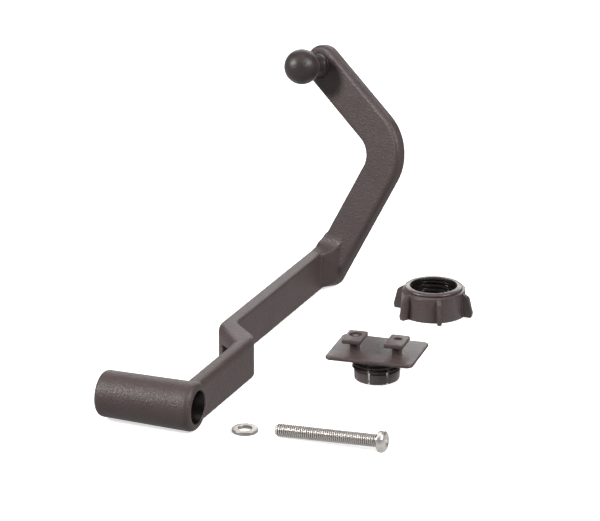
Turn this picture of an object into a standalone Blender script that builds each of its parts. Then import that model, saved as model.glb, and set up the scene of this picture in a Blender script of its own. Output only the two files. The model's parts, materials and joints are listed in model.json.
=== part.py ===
"""Ball-mount device arm as a loose kit: arm with a ball stud, collar nut, T-tab adapter, washer and bolt.

Blender 4.5, metres, +Z up. X runs along the arm's clamp sleeve, Y along its bar, and z = 0 is the table.
"""

from math import atan2, cos, hypot, pi, radians, sin, tan

import bmesh
import bpy
from mathutils import Matrix, Vector

MM = 0.001

# Where the kit's own datum (sleeve mouth, on the table) sits in the world, so that z = 0 and x = y = 0
# are the bottom centre of the whole layout.
DATUM = Vector((-20.0, -108.75, 0.0))

# Clamp sleeve: a round tube along X with a deep counterbore open at its +X mouth.
SLEEVE_R_MOUTH = 11.4
SLEEVE_R_END = 10.85
SLEEVE_LENGTH = 48.0
SLEEVE_EDGE = 2.0
COUNTERBORE_R = 7.75
COUNTERBORE_DEPTH = 36.0
BOLT_HOLE_R = 3.3

# Flat-sided bar, standing on edge: straight, an oblique jog, then straight again to the knee.
BAR_HEIGHT = 19.3
BAR_THICK = 6.9
NEAR_RUN_X = -3.3
JOG_SHIFT = 16.2
JOG_OUTSIDE_Y = (73.5, 88.2)
JOG_INSIDE_Y = (60.5, 80.0)
POCKET_SPAN = (8.0, 20.5, 2.0, 12.2)
POCKET_DEPTH = 3.5
KNEE_Y = 196.7
KNEE_TOP_R = 8.5
KNEE_SIDE_R = 5.2
KNEE_FACET_FOOT = 2.7
BAR_EDGE = 1.6

# Flat upper arm: turned about Z and leaned back from the bar's end.
UPPER_TURN = radians(20.0)
UPPER_LEAN = radians(9.0)
UPPER_THICK = 7.0
UPPER_EDGE = 2.0
LOWER_WIDTH = 19.3
TOP_WIDTH = 19.8
ELBOW = Vector((31.4, 76.6))
LOWER_RISE = radians(63.9)
TOP_FALL = radians(32.0)
TOP_LENGTH = 60.0
ELBOW_INNER_R = 9.5
ELBOW_OUTER_R = 24.0
HIP_R = 12.0
HEEL_R = 9.0

# Ball stud.
BALL_R = 8.7
BALL_REACH = 13.0
STUD_NECK_R = 4.6
STUD_FLANGE_R = 6.1
STUD_FLANGE_SEAT = 0.8
STUD_SHANK_R = 4.0
STUD_SHANK_LENGTH = 5.4
FIT_GAP = 0.3

# Collar nut.
NUT_AT = Vector((42.75, 184.45))
NUT_HEIGHT = 14.1
NUT_R_TOP = 14.2
NUT_RIM_R = 11.4
NUT_R_FOOT = 16.2
NUT_THREAD_R = 11.6
NUT_BALL_HOLE_R = 9.1
NUT_FINS = 6
NUT_FIN_R = 20.4
NUT_FIN_TOP = (15.2, 12.0)
NUT_FIN_SHOULDER = (18.4, 10.1)
NUT_FIN_THICK = 2.0
NUT_FIN_FIRST = radians(-60.0)
THREAD_PITCH = 2.2
THREAD_DEPTH = 0.75

# Adapter: split collet below, plate with two T tabs above.
ADAPTER_AT = Vector((49.8, 92.8))
ADAPTER_TURN = radians(5.9)
COLLET_R = 10.8
COLLET_THREAD_R = 11.4
COLLET_THREAD_LOW = 5.6
COLLET_PITCH = 2.0
COLLET_HEIGHT = 12.1
COLLET_SLOTS = 7
COLLET_SLOT = 1.1
COLLET_SLOT_FIRST = radians(-97.0)
COLLET_SLOT_TOP = 10.3
SOCKET_R = 8.8
SOCKET_CENTRE_Z = 4.4
SOCKET_MOUTH_R = 8.2
PLATE_SIZE = (42.3, 32.7)
PLATE_THICK = 1.8
PLATE_CORNER = 3.0
TAB_SIZE = (9.2, 14.4)
TAB_THICK = 2.0
TAB_POST = (4.2, 4.4)
TAB_TOP_Z = 20.8
TAB_PITCH = 20.4
TAB_SHIFT_Y = -2.4
TAB_RECESS_R = 2.6
TAB_RECESS_DEPTH = 0.6

# Hardware: M6 plain washer and M6 x 50 button-head screw.
WASHER_AT = Vector((19.4, 7.9))
WASHER_R = 6.0
WASHER_HOLE_R = 3.2
WASHER_THICK = 1.6
BOLT_TIP = Vector((34.6, 8.4))
BOLT_TURN = radians(0.6)
BOLT_R = 2.95
BOLT_ROOT_R = 2.45
BOLT_LENGTH = 50.0
BOLT_PITCH = 1.0
HEAD_R = 5.25
HEAD_HEIGHT = 3.3
HEX_FLATS = 4.0
HEX_DEPTH = 2.0

TURN_STEPS = 64


def clear_scene():
    for obj in list(bpy.data.objects):
        bpy.data.objects.remove(obj, do_unlink=True)
    for block in (bpy.data.meshes, bpy.data.materials, bpy.data.collections):
        for item in list(block):
            block.remove(item)


def new_collection(name):
    collection = bpy.data.collections.new(name)
    bpy.context.scene.collection.children.link(collection)
    return collection


def material(name, colour, roughness, metallic=0.0, coat=0.0):
    made = bpy.data.materials.new(name)
    made.use_nodes = True
    shader = made.node_tree.nodes["Principled BSDF"]
    shader.inputs["Base Color"].default_value = (*colour, 1.0)
    shader.inputs["Roughness"].default_value = roughness
    shader.inputs["Metallic"].default_value = metallic
    shader.inputs["Coat Weight"].default_value = coat
    made.diffuse_color = (*colour, 1.0)
    return made


def rounded(corners, steps=6):
    """A closed 2-D outline from (x, y, radius) corners, each rounded corner as an arc."""
    points = []
    count = len(corners)
    for index, (x, y, radius) in enumerate(corners):
        here = Vector((x, y))
        if radius <= 0:
            points.append(here)
            continue
        before = (Vector(corners[index - 1][:2]) - here).normalized()
        after = (Vector(corners[(index + 1) % count][:2]) - here).normalized()
        half = before.angle(after) / 2
        centre = here + (before + after).normalized() * (radius / sin(half))
        start = here + before * (radius / tan(half)) - centre
        end = here + after * (radius / tan(half)) - centre
        sweep = atan2(start.x * end.y - start.y * end.x, start.dot(end))
        first = atan2(start.y, start.x)
        for step in range(steps + 1):
            angle = first + sweep * step / steps
            points.append(centre + Vector((cos(angle), sin(angle))) * radius)
    return points


def finish_mesh(name, mesh_bm, collection, place=Matrix.Identity(4), smooth=True):
    """Turns a bmesh in millimetres into an object in metres, moved to the kit's datum."""
    bmesh.ops.remove_doubles(mesh_bm, verts=mesh_bm.verts, dist=1e-5)
    bmesh.ops.recalc_face_normals(mesh_bm, faces=mesh_bm.faces)
    world = Matrix.Diagonal((MM, MM, MM, 1.0)) @ Matrix.Translation(DATUM) @ place
    mesh_bm.transform(world)
    mesh = bpy.data.meshes.new(name)
    mesh_bm.to_mesh(mesh)
    mesh_bm.free()
    obj = bpy.data.objects.new(name, mesh)
    collection.objects.link(obj)
    if smooth:
        mesh.shade_smooth()
        mesh.set_sharp_from_angle(angle=radians(40))
    return obj


def prism(name, outline, low, high, collection, place=Matrix.Identity(4)):
    """An outline in XY, extruded from low to high along Z."""
    built = bmesh.new()
    bottom = [built.verts.new((point.x, point.y, low)) for point in outline]
    top = [built.verts.new((point.x, point.y, high)) for point in outline]
    built.faces.new(bottom[::-1])
    built.faces.new(top)
    for index in range(len(outline)):
        after = (index + 1) % len(outline)
        built.faces.new((bottom[index], bottom[after], top[after], top[index]))
    return finish_mesh(name, built, collection, place)


def turned(name, profile, collection, place=Matrix.Identity(4), steps=TURN_STEPS):
    """A closed (radius, z) profile turned about Z. Points on the axis close the ends."""
    built = bmesh.new()
    rings = []
    for radius, height in profile:
        if radius < 1e-6:
            rings.append([built.verts.new((0.0, 0.0, height))])
            continue
        angles = (2 * pi * step / steps for step in range(steps))
        rings.append([built.verts.new((radius * cos(a), radius * sin(a), height)) for a in angles])
    for index, ring in enumerate(rings):
        other = rings[(index + 1) % len(rings)]
        if len(ring) == 1 and len(other) == 1:
            continue
        for step in range(steps):
            after = (step + 1) % steps
            corners = [ring[step % len(ring)], ring[after % len(ring)]]
            corners += [other[after % len(other)], other[step % len(other)]]
            built.faces.new(list(dict.fromkeys(corners)))
    return finish_mesh(name, built, collection, place)


def box(name, low, high, collection, place=Matrix.Identity(4)):
    corners = ((low[0], low[1]), (high[0], low[1]), (high[0], high[1]), (low[0], high[1]))
    return prism(name, [Vector(corner) for corner in corners], low[2], high[2], collection, place)


def bevel(obj, width, segments=3, angle=40):
    edge = obj.modifiers.new("edge_round", "BEVEL")
    edge.width = width * MM
    edge.segments = segments
    edge.limit_method = "ANGLE"
    edge.angle_limit = radians(angle)
    edge.use_clamp_overlap = False
    return edge


def combine(obj, other, operation):
    step = obj.modifiers.new(operation.lower() + "_" + other.name, "BOOLEAN")
    step.operation = operation
    step.object = other
    step.solver = "EXACT"
    other.hide_render = True
    other.display_type = "WIRE"


def along_x(at=Vector((0, 0, 0))):
    """Lays a turned shape's own Z along world X."""
    return Matrix.Translation(at) @ Matrix.Rotation(pi / 2, 4, "Y")


def upper_frame():
    """The flat upper arm's own frame: x across, y up its face, z out of its front face."""
    across = Vector((cos(UPPER_TURN), -sin(UPPER_TURN), 0.0))
    out = Vector((-sin(UPPER_TURN) * cos(UPPER_LEAN), -cos(UPPER_TURN) * cos(UPPER_LEAN), sin(UPPER_LEAN)))
    up = out.cross(across)
    frame = Matrix((across, up, out)).transposed().to_4x4()
    far_side_x = NEAR_RUN_X - JOG_SHIFT
    frame.translation = Vector((far_side_x, KNEE_Y, 0.3))
    return frame


def stud_centre():
    """Centre of the upper arm's round end, in the upper frame."""
    return ELBOW + Vector((-cos(TOP_FALL), sin(TOP_FALL))) * TOP_LENGTH


def crossing(point, direction, other, other_direction):
    """Where two lines in the plane meet."""
    span = direction.x * other_direction.y - direction.y * other_direction.x
    away = other - point
    return point + direction * ((away.x * other_direction.y - away.y * other_direction.x) / span)


def upper_outline():
    """The upper arm's face outline: heel, leaning lower part, elbow, and the top part with a round end."""
    rise = Vector((cos(LOWER_RISE), sin(LOWER_RISE)))
    fall = Vector((-cos(TOP_FALL), sin(TOP_FALL)))
    beside_rise = Vector((rise.y, -rise.x)) * LOWER_WIDTH / 2
    beside_fall = Vector((fall.y, -fall.x)) * TOP_WIDTH / 2
    outer = crossing(ELBOW + beside_rise, rise, ELBOW + beside_fall, fall)
    inner = crossing(ELBOW - beside_rise, rise, ELBOW - beside_fall, fall)
    level, plumb = Vector((1.0, 0.0)), Vector((0.0, 1.0))
    bar_left = Vector((-BAR_THICK / cos(UPPER_TURN), 0.0))
    heel = crossing(outer, rise, bar_left, level)
    hip = crossing(inner, rise, bar_left, plumb)
    end = stud_centre()
    outline = [(*bar_left, 0.0), (*heel, HEEL_R), (*outer, ELBOW_OUTER_R), (*(end + beside_fall), 0.0)]
    outline = rounded(outline, 14)
    first = atan2(beside_fall.y, beside_fall.x)
    steps = 20
    for step in range(1, steps):
        angle = first + pi * step / steps
        outline.append(end + Vector((cos(angle), sin(angle))) * TOP_WIDTH / 2)
    tail = [(*(end - beside_fall), 0.0), (*inner, ELBOW_INNER_R), (*hip, HIP_R), (*bar_left, 0.0)]
    return outline + rounded(tail, 8)[:-1]


def bar_outline():
    """The bar in plan: near run, oblique jog, far run."""
    near_out, near_in = NEAR_RUN_X, NEAR_RUN_X - BAR_THICK
    far_out, far_in = near_out - JOG_SHIFT, near_in - JOG_SHIFT
    corners = [
        (near_in, 0.0, 0.0),
        (near_out, 0.0, 0.0),
        (near_out, JOG_OUTSIDE_Y[0], 11.0),
        (far_out, JOG_OUTSIDE_Y[1], 8.0),
        (far_out, KNEE_Y + 6.0, 0.0),
        (far_in, KNEE_Y + 6.0, 0.0),
        (far_in, JOG_INSIDE_Y[1], 14.0),
        (near_in, JOG_INSIDE_Y[0], 6.0),
    ]
    return rounded(corners)


def knee_flare(collection):
    """The bar's end widening into the upper arm: a fillet above it and a facet on its outside, mitred.

    It is kept inside the upper arm's outline.
    """
    wedge_top, wedge_side = (pi / 2 + UPPER_LEAN) / 2, (pi / 2 - UPPER_TURN) / 2
    top_reach, side_reach = KNEE_TOP_R / tan(wedge_top), KNEE_SIDE_R / tan(wedge_side)
    corner_y = BAR_HEIGHT / cos(UPPER_LEAN)
    bar_left = -BAR_THICK / cos(UPPER_TURN)
    steps = 8
    built = bmesh.new()
    rings = []
    for step in range(-1, steps + 1):
        out = max(step, 0) / steps * side_reach * cos(UPPER_TURN)
        right = side_reach - out * (side_reach - KNEE_FACET_FOOT) / (side_reach * cos(UPPER_TURN))
        top = corner_y + top_reach - (KNEE_TOP_R**2 - (KNEE_TOP_R - out) ** 2) ** 0.5
        left = bar_left + out * tan(UPPER_TURN) + 0.4
        out = out if step >= 0 else -3.0
        corners = ((left, -2.0), (right, -2.0), (right, top), (left, top))
        rings.append([built.verts.new((x, y, out)) for x, y in corners])
    for ring, other in zip(rings, rings[1:]):
        for index in range(4):
            after = (index + 1) % 4
            built.faces.new((ring[index], ring[after], other[after], other[index]))
    built.faces.new(rings[0][::-1])
    built.faces.new(rings[-1])
    flare = finish_mesh("knee_flare_blank", built, collection, upper_frame())
    inside = prism("knee_flare_limit", upper_outline(), -4.0, 12.0, collection, upper_frame())
    combine(flare, inside, "INTERSECT")
    return flare


def make_arm(parts, cutters, finish):
    arm = prism("arm_moulding", bar_outline(), 0.0, BAR_HEIGHT, parts)
    arm.data.materials.append(finish)
    bevel(arm, BAR_EDGE)

    upper = prism("upper_arm_blank", upper_outline(), -UPPER_THICK, 0.0, cutters, upper_frame())
    bevel(upper, UPPER_EDGE)
    combine(arm, upper, "UNION")
    combine(arm, knee_flare(cutters), "UNION")

    edge = SLEEVE_EDGE
    left, right = -SLEEVE_LENGTH, 0.0
    profile = [(0.0, left)]
    for end_z, radius, sign in ((left, SLEEVE_R_END, 1), (right, SLEEVE_R_MOUTH, -1)):
        arc = []
        for step in range(6):
            angle = pi / 2 * step / 5
            arc.append((radius - edge + edge * sin(angle), end_z + sign * (edge - edge * cos(angle))))
        profile += arc if sign > 0 else arc[::-1]
    profile.append((0.0, right))
    sleeve = turned("sleeve_blank", profile, cutters, along_x(Vector((0, 0, SLEEVE_R_MOUTH))))
    combine(arm, sleeve, "UNION")

    lip = 0.7
    bore = [
        (0.0, -COUNTERBORE_DEPTH),
        (COUNTERBORE_R, -COUNTERBORE_DEPTH),
        (COUNTERBORE_R, -lip),
        (COUNTERBORE_R + lip, 0.0),
        (COUNTERBORE_R + lip, 5.0),
        (0.0, 5.0),
    ]
    at_sleeve = along_x(Vector((0, 0, SLEEVE_R_MOUTH)))
    combine(arm, turned("counterbore", bore[::-1], cutters, at_sleeve), "DIFFERENCE")
    hole = [(0.0, 5.0 - COUNTERBORE_DEPTH), (BOLT_HOLE_R, 5.0 - COUNTERBORE_DEPTH)]
    hole += [(BOLT_HOLE_R, -SLEEVE_LENGTH - 5.0), (0.0, -SLEEVE_LENGTH - 5.0)]
    combine(arm, turned("bolt_hole", hole, cutters, at_sleeve, 32), "DIFFERENCE")

    stud = stud_centre()
    seat = [
        (0.0, -STUD_SHANK_LENGTH - STUD_FLANGE_SEAT - FIT_GAP),
        (STUD_SHANK_R + FIT_GAP, -STUD_SHANK_LENGTH - STUD_FLANGE_SEAT - FIT_GAP),
        (STUD_SHANK_R + FIT_GAP, -STUD_FLANGE_SEAT - FIT_GAP),
        (STUD_FLANGE_R + FIT_GAP, -STUD_FLANGE_SEAT - FIT_GAP),
        (STUD_FLANGE_R + FIT_GAP, 3.0),
        (0.0, 3.0),
    ]
    at_stud = upper_frame() @ Matrix.Translation((stud.x, stud.y, 0.0))
    combine(arm, turned("stud_seat", seat, cutters, at_stud), "DIFFERENCE")

    corner = Vector((NEAR_RUN_X - BAR_THICK - JOG_SHIFT, JOG_INSIDE_Y[1], 0.0))
    slope = atan2(JOG_INSIDE_Y[1] - JOG_INSIDE_Y[0], JOG_SHIFT)
    face = Matrix.Translation(corner) @ Matrix.Rotation(-slope, 4, "Z")
    start, end, low, high = POCKET_SPAN
    pocket = [(start, -3.0, 0.0), (end, -3.0, 0.0), (end, POCKET_DEPTH, 1.0), (start, POCKET_DEPTH, 1.0)]
    combine(arm, prism("jog_pocket", rounded(pocket, 3), low, high, cutters, face), "DIFFERENCE")

    trim = box("table_trim", (-80, -60, -30), (80, 260, 0), cutters)
    combine(arm, trim, "DIFFERENCE")
    return arm


def make_ball_stud(parts, finish):
    """Ball, necked stem, flange let into the arm's face, and a shank pressed into the arm."""
    join = (BALL_R**2 - STUD_NECK_R**2) ** 0.5
    base = -STUD_SHANK_LENGTH - STUD_FLANGE_SEAT
    profile = [(0.0, base), (STUD_SHANK_R - 0.4, base), (STUD_SHANK_R, base + 0.4)]
    profile += [(STUD_SHANK_R, -STUD_FLANGE_SEAT)]
    profile += [(STUD_FLANGE_R, -STUD_FLANGE_SEAT), (STUD_FLANGE_R, 0.3), (STUD_FLANGE_R - 0.3, 0.6)]
    profile += [(STUD_NECK_R + 0.6, 1.0), (STUD_NECK_R + 0.15, 2.0), (STUD_NECK_R, 3.2)]
    steps = 22
    first = pi - atan2(STUD_NECK_R, join)
    for step in range(steps + 1):
        angle = first * (1 - step / steps)
        radius = BALL_R * sin(angle)
        profile.append((radius if step < steps else 0.0, BALL_REACH + BALL_R * cos(angle)))
    centre = stud_centre()
    place = upper_frame() @ Matrix.Translation((centre.x, centre.y, 0.0))
    stud = turned("ball_stud", profile, parts, place, 40)
    stud.data.materials.append(finish)
    return stud


def thread_ridges(radius, depth, low, high, pitch, outward):
    """Profile points of ring ridges from low to high: (radius, z) pairs, rising in z."""
    points = []
    height = low
    sign = 1 if outward else -1
    while height + pitch <= high + 1e-6:
        points += [(radius - sign * depth, height), (radius - sign * depth, height + 0.25 * pitch)]
        points += [(radius, height + 0.5 * pitch), (radius, height + 0.75 * pitch)]
        height += pitch
    return points + [(radius - sign * depth, height)]


def make_collar_nut(parts, cutters, finish):
    """Body that flares to its foot, threaded from the top, a hole for the ball below, and grip fins."""
    top = NUT_HEIGHT
    outside = [(NUT_R_FOOT - 0.6, 0.0), (NUT_R_FOOT, 0.6), (NUT_R_TOP, top - 2.2)]
    outside += [(NUT_R_TOP - 0.1, top - 1.4), (NUT_R_TOP - 1.1, top - 0.5), (NUT_RIM_R + 0.6, top)]
    low = 3.6
    inside = [(NUT_BALL_HOLE_R, 0.0), (NUT_BALL_HOLE_R, 0.8), (NUT_THREAD_R - THREAD_DEPTH, low)]
    root = NUT_THREAD_R - THREAD_DEPTH
    ridges = thread_ridges(root, THREAD_DEPTH, low, top - 0.9, THREAD_PITCH, False)
    inside += ridges[1:] + [(NUT_THREAD_R, top - 0.9), (NUT_RIM_R, top - 0.4), (NUT_RIM_R + 0.1, top)]
    at = Matrix.Translation((NUT_AT.x, NUT_AT.y, 0.0))
    nut = turned("collar_nut", outside + inside[::-1], parts, at)
    nut.data.materials.append(finish)
    half = NUT_FIN_THICK / 2
    inner = NUT_R_TOP - 1.6
    for index in range(NUT_FINS):
        outline = [(inner, 0.4, 0.0), (NUT_FIN_R - 0.8, 0.4, 0.5), (NUT_FIN_R, 2.4, 1.0)]
        outline += [(*NUT_FIN_SHOULDER, 1.5), (*NUT_FIN_TOP, 0.6), (inner, NUT_FIN_TOP[1] + 0.2, 0.0)]
        turn = Matrix.Rotation(NUT_FIN_FIRST + 2 * pi * index / NUT_FINS, 4, "Z")
        stand = Matrix.Rotation(pi / 2, 4, "X")
        fin = prism(f"nut_fin_{index + 1}", rounded(outline, 4), -half, half, cutters, at @ turn @ stand)
        bevel(fin, 0.35, 2, 50)
        combine(nut, fin, "UNION")
    return nut


def adapter_place():
    return Matrix.Translation((ADAPTER_AT.x, ADAPTER_AT.y, 0.0)) @ Matrix.Rotation(ADAPTER_TURN, 4, "Z")


def make_collet(parts, cutters, finish):
    """Split socket: threads near its top, plain fingers below, a round seat for the ball, open below."""
    outside = [(COLLET_R - 0.8, 0.0), (COLLET_R, 0.8), (COLLET_R, COLLET_THREAD_LOW - 0.4)]
    thread_top = COLLET_HEIGHT - 0.4
    outside += thread_ridges(COLLET_THREAD_R, 0.9, COLLET_THREAD_LOW, thread_top, COLLET_PITCH, True)
    outside += [(COLLET_THREAD_R - 0.9, COLLET_HEIGHT)]
    seat = [(0.0, COLLET_HEIGHT)]
    steps = 12
    mouth = atan2(SOCKET_MOUTH_R, -SOCKET_CENTRE_Z)
    arc = []
    reach = hypot(SOCKET_MOUTH_R, SOCKET_CENTRE_Z)
    for step in range(steps + 1):
        angle = min(mouth, pi - 0.01) * step / steps
        radius = SOCKET_R + (reach - SOCKET_R) * max(0.0, (step - steps + 1))
        arc.append((radius * sin(angle), SOCKET_CENTRE_Z + radius * cos(angle)))
    arc[0] = (0.0, min(SOCKET_CENTRE_Z + SOCKET_R, COLLET_HEIGHT - 1.6))
    flat = COLLET_HEIGHT - 1.6
    arc = [arc[0]] + [(r, min(z, flat)) for r, z in arc[1:]]
    collet = turned("collet_socket", outside + seat + arc, parts, adapter_place())
    collet.data.materials.append(finish)
    half = COLLET_SLOT / 2
    for index in range(COLLET_SLOTS):
        turn = Matrix.Rotation(COLLET_SLOT_FIRST + 2 * pi * index / COLLET_SLOTS, 4, "Z")
        low, high = (5.0, -half, -2.0), (14.0, half, COLLET_SLOT_TOP)
        slot = box(f"collet_slot_{index + 1}", low, high, cutters, adapter_place() @ turn)
        combine(collet, slot, "DIFFERENCE")
    return collet


def make_tab_plate(parts, cutters, finish):
    """Rounded plate with two T tabs, each a flat head on a post with a round recess in its top."""
    low = COLLET_HEIGHT + FIT_GAP
    half_x, half_y = PLATE_SIZE[0] / 2, PLATE_SIZE[1] / 2
    corners = [(-half_x, -half_y), (half_x, -half_y), (half_x, half_y), (-half_x, half_y)]
    outline = rounded([(x, y, PLATE_CORNER) for x, y in corners], 6)
    plate = prism("tab_plate", outline, low, low + PLATE_THICK, parts, adapter_place())
    plate.data.materials.append(finish)
    bevel(plate, 0.8)
    post_top = TAB_TOP_Z - TAB_THICK / 2
    for index, side in enumerate((-1, 1)):
        at = adapter_place() @ Matrix.Translation((side * TAB_PITCH / 2, TAB_SHIFT_Y, 0.0))
        x, y = TAB_POST[0] / 2, TAB_POST[1] / 2
        post = rounded([(-x, -y, 0.8), (x, -y, 0.8), (x, y, 0.8), (-x, y, 0.8)], 3)
        combine(plate, prism(f"tab_post_{index + 1}", post, low + 1.0, post_top, cutters, at), "UNION")
        x, y = TAB_SIZE[0] / 2, TAB_SIZE[1] / 2
        head = rounded([(-x, -y, 1.0), (x, -y, 1.0), (x, y, 1.0), (-x, y, 1.0)], 3)
        blank = prism(f"tab_head_{index + 1}", head, TAB_TOP_Z - TAB_THICK, TAB_TOP_Z, cutters, at)
        bevel(blank, 0.5, 2)
        combine(plate, blank, "UNION")
        recess = [(0.0, TAB_TOP_Z - TAB_RECESS_DEPTH), (TAB_RECESS_R, TAB_TOP_Z - TAB_RECESS_DEPTH)]
        recess += [(TAB_RECESS_R, TAB_TOP_Z + 2.0), (0.0, TAB_TOP_Z + 2.0)]
        well = turned(f"tab_recess_{index + 1}", recess, cutters, at @ Matrix.Translation((0, 1.6, 0)), 32)
        combine(plate, well, "DIFFERENCE")
    return plate


def make_washer(parts, finish):
    profile = [(WASHER_R - 0.2, 0.0), (WASHER_R, 0.2), (WASHER_R, WASHER_THICK - 0.2)]
    profile += [(WASHER_R - 0.2, WASHER_THICK), (WASHER_HOLE_R, WASHER_THICK), (WASHER_HOLE_R, 0.0)]
    washer = turned("washer", profile, parts, Matrix.Translation((WASHER_AT.x, WASHER_AT.y, 0.0)), 48)
    washer.data.materials.append(finish)
    return washer


def bolt_place():
    """The screw's own Z runs from its tip to its head, lying on its tip's edge and its head's rim."""
    dip = (HEAD_R - BOLT_R) / BOLT_LENGTH
    tip = Vector((BOLT_TIP.x, BOLT_TIP.y, BOLT_R / cos(dip)))
    lay = Matrix.Rotation(BOLT_TURN, 4, "Z") @ Matrix.Rotation(pi / 2 - dip, 4, "Y")
    return Matrix.Translation(tip) @ lay


def make_bolt(parts, cutters, finish):
    profile = [(0.0, 0.0), (BOLT_ROOT_R, 0.0)]
    threads = int(BOLT_LENGTH / BOLT_PITCH) - 2
    for turn in range(threads):
        start = 0.6 + turn * BOLT_PITCH
        profile += [(BOLT_R, start + 0.5 * BOLT_PITCH), (BOLT_ROOT_R, start + BOLT_PITCH)]
    profile += [(BOLT_ROOT_R, BOLT_LENGTH), (HEAD_R - 0.25, BOLT_LENGTH), (HEAD_R, BOLT_LENGTH + 0.3)]
    dome = 8
    flat_r = 3.1
    for step in range(dome + 1):
        angle = pi / 2 * step / dome
        radius = flat_r + (HEAD_R - flat_r) * cos(angle)
        profile.append((radius, BOLT_LENGTH + 0.5 + (HEAD_HEIGHT - 0.5) * sin(angle)))
    profile.append((0.0, BOLT_LENGTH + HEAD_HEIGHT))
    bolt = turned("button_head_bolt", profile, parts, bolt_place(), 24)
    bolt.data.materials.append(finish)
    corner = HEX_FLATS / 2 / cos(pi / 6)
    hexagon = [Vector((cos(pi / 3 * k), sin(pi / 3 * k))) * corner for k in range(6)]
    low = BOLT_LENGTH + HEAD_HEIGHT - HEX_DEPTH
    socket = prism("hex_socket", hexagon, low, low + HEX_DEPTH + 2, cutters, bolt_place())
    combine(bolt, socket, "DIFFERENCE")
    return bolt


def main():
    clear_scene()
    bpy.context.scene.unit_settings.system = "METRIC"
    parts = new_collection("ball_mount_arm_kit")
    cutters = new_collection("cutters")
    grained = material("arm_plastic", (0.072, 0.058, 0.056), 0.55)
    satin = material("plate_plastic", (0.085, 0.072, 0.068), 0.45)
    glossy = material("gloss_plastic", (0.040, 0.031, 0.030), 0.2, coat=0.4)
    steel = material("stainless_steel", (0.62, 0.58, 0.54), 0.28, metallic=1.0)

    make_arm(parts, cutters, grained)
    make_ball_stud(parts, grained)
    make_collar_nut(parts, cutters, glossy)
    make_collet(parts, cutters, glossy)
    make_tab_plate(parts, cutters, satin)
    make_washer(parts, steel)
    make_bolt(parts, cutters, steel)


main()
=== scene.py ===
"""Finished look of the ball-mount arm kit: smooth moulded arm, glossy collar and collet, threaded screw.

X runs along the arm's clamp sleeve, Y along its bar, and z = 0 is the table.
"""

import json

from math import atan2, cos, hypot, pi, radians, sin, tan

import bmesh
import bpy
from mathutils import Matrix, Vector

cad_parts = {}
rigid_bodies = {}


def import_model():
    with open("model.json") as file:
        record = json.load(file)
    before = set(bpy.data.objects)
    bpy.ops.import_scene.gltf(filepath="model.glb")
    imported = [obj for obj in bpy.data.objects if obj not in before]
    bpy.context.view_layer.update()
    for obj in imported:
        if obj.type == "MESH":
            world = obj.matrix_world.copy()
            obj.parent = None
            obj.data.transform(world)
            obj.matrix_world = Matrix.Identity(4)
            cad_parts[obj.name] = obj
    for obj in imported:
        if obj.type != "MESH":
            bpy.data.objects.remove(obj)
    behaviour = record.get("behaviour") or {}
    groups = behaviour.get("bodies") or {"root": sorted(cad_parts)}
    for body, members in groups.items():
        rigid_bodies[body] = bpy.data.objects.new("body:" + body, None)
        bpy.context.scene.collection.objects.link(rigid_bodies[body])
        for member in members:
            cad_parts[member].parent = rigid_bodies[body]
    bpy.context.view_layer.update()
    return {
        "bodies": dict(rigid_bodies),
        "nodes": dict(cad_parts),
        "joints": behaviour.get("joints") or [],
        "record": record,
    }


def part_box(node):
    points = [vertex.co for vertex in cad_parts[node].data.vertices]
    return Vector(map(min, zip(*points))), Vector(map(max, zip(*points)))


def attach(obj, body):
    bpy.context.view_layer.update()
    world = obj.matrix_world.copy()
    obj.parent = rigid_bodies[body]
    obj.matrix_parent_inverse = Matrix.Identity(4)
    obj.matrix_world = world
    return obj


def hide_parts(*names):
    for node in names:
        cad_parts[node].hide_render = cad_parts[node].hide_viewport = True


MM = 0.001

# Clamp sleeve.
SLEEVE_R_MOUTH = 11.4
SLEEVE_R_END = 10.85
SLEEVE_LENGTH = 48.0
SLEEVE_MOUTH_EDGE = 3.0
SLEEVE_END_EDGE = 2.4
COUNTERBORE_R = 7.75
COUNTERBORE_DEPTH = 36.0
BOLT_HOLE_R = 3.3

# Bar. A pair gives the jog's near and far corners, or the pocket's two ends.
BAR_HEIGHT = 19.3
BAR_THICK = 6.9
NEAR_RUN_X = -3.3
JOG_SHIFT = 16.2
JOG_OUTSIDE_Y, JOG_OUTSIDE_R = (73.5, 88.2), (11.0, 8.0)
JOG_INSIDE_Y, JOG_INSIDE_R = (60.5, 80.0), (6.0, 14.0)
POCKET_SPAN = (7.6, 20.5)
POCKET_TOP = (12.2, 14.6)
POCKET_FOOT = 1.5
POCKET_SLANT = 5.0
POCKET_DEPTH = 3.5
KNEE_Y = 196.7
BAR_EDGE = 1.1
NEAR_RUN_EDGE = 3.4
JOG_TOP_EDGE = 4.5

# Flat upper arm.
UPPER_TURN = radians(20.0)
UPPER_LEAN = radians(9.0)
UPPER_THICK = 7.0
UPPER_EDGE = 2.0
UPPER_FOOT_Z = 0.3
LOWER_WIDTH = 19.3
TOP_WIDTH = 19.8
ELBOW = Vector((31.4, 76.6))
LOWER_RISE = radians(63.9)
TOP_FALL = radians(32.0)
TOP_LENGTH = 60.0
ELBOW_INNER_R = 9.5
ELBOW_OUTER_R = 24.0
HIP_R = 12.0
HEEL_R = 9.0
KNEE_TOP_R = 8.5
KNEE_SIDE_R = 5.2
KNEE_FACET_FOOT = 2.7

# The arm is fused on a voxel grid, then smoothed: (voxel, passes).
ARM_FUSE = (0.45, 9)

# Ball stud.
BALL_R = 8.7
BALL_REACH = 13.0
STUD_NECK_R = 4.6
STUD_FLANGE_R = 6.1
STUD_FLANGE_SEAT = 0.8
STUD_SHANK_R = 4.0
STUD_SHANK_LENGTH = 5.4
FIT_GAP = 0.3

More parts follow.
